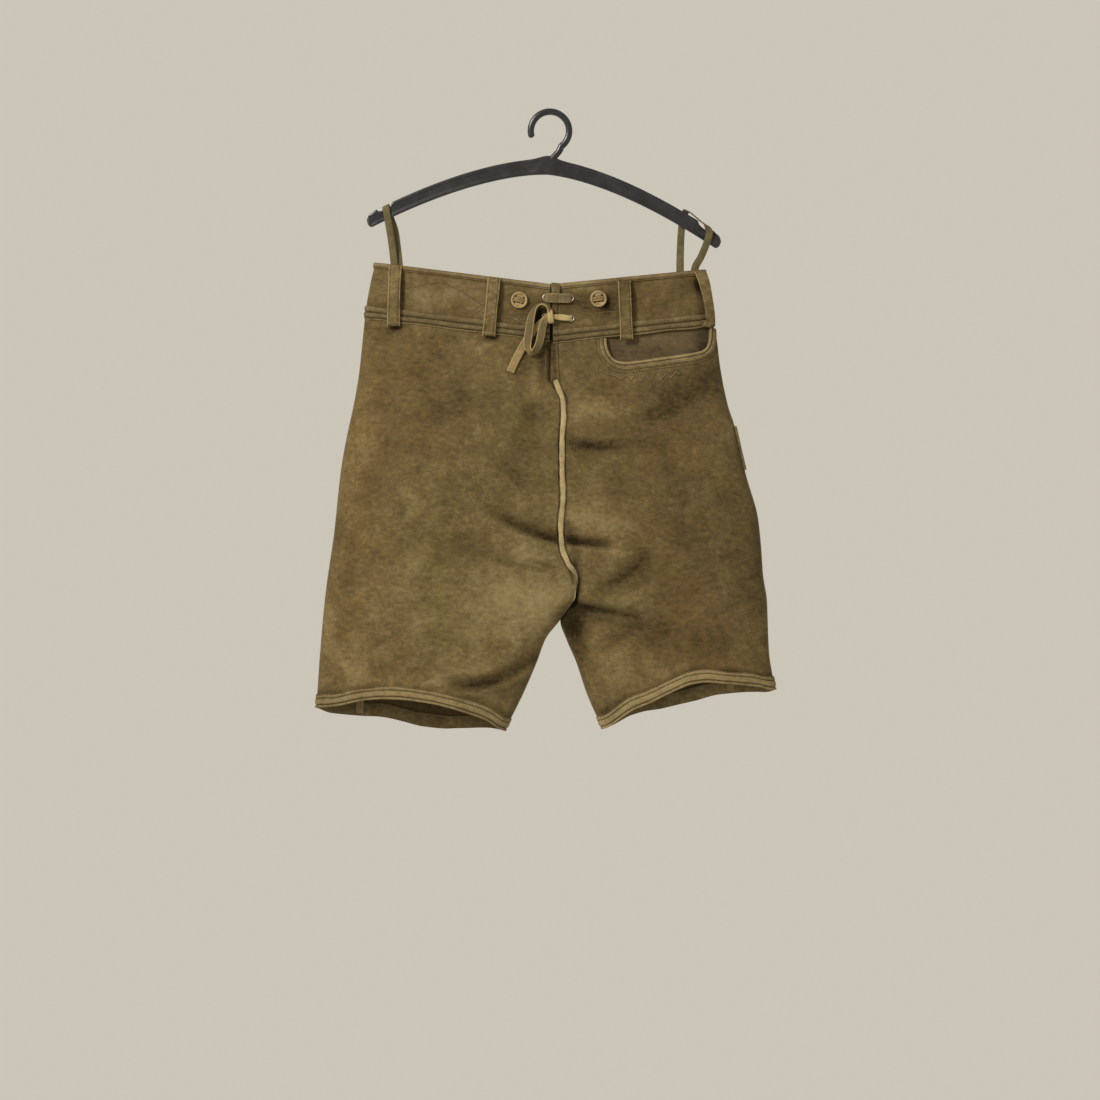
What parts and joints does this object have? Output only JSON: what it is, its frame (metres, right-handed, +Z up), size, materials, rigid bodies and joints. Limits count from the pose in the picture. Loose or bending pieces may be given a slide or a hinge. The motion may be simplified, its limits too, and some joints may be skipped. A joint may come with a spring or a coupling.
{
  "type": "lederhosen on a coat hanger",
  "caption": "Short suede lederhosen with laced back waist, belt loops, scoop hip pocket and bound hems, hung by two ribbon loops from a moulded coat hanger.",
  "frame": {"origin": "inner top of the coat hanger's hook, where a rail holds it", "axes": "+Z up; -Y is the side the back of the trousers faces; +X is the wearer's right"},
  "size_m": [0.5538, 0.0615, 0.7464],
  "materials": {
    "suede": "napped suede, mottled olive brown",
    "suede_band": "napped suede, rubbed grey brown",
    "suede_light": "napped suede with light cut edges",
    "thong": "pale cream suede thong",
    "thong_dark": "rubbed grey-brown thong",
    "horn": "leather-covered brace button, lightly polished",
    "eyelet_metal": "dull nickel-brass eyelet",
    "ribbon": "woven ribbon, olive grey",
    "black_plastic": "black moulded plastic, soft gloss"
  },
  "bodies": {
    "root": {"back_button_left": "horn", "back_button_right": "horn", "back_gusset": "suede_band", "back_left": "suede", "back_right": "suede", "belt_loop_1": "suede_light", "belt_loop_2": "suede_light", "belt_loop_3": "suede_light", "belt_loop_4": "suede_light", "belt_loop_5": "suede_light", "belt_loop_6": "suede_light", "eyelet_1": "eyelet_metal", "eyelet_2": "eyelet_metal", "eyelet_3": "eyelet_metal", "eyelet_4": "eyelet_metal", "flap_button_left": "horn", "flap_button_right": "horn", "front_flap": "suede", "front_left": "suede", "front_right": "suede", "hanger": "black_plastic", "hanger_loop_left": "ribbon", "hanger_loop_right": "ribbon", "hem_binding_left": "suede_light", "hem_binding_right": "suede_light", "knife_pocket": "suede", "knife_pocket_flap": "suede_light", "lace_knot": "thong", "lace_loop": "thong", "lace_lower": "thong", "lace_tail": "thong", "lace_upper": "thong_dark", "pocket_binding": "suede_light", "pocket_facing": "suede_band", "seat_piping": "thong", "waist_binding_left": "suede_band", "waist_binding_right": "suede_band", "waist_welt_left": "suede_light", "waist_welt_right": "suede_light", "waistband_left": "suede_band", "waistband_right": "suede_band"}
  },
  "joints": []
}
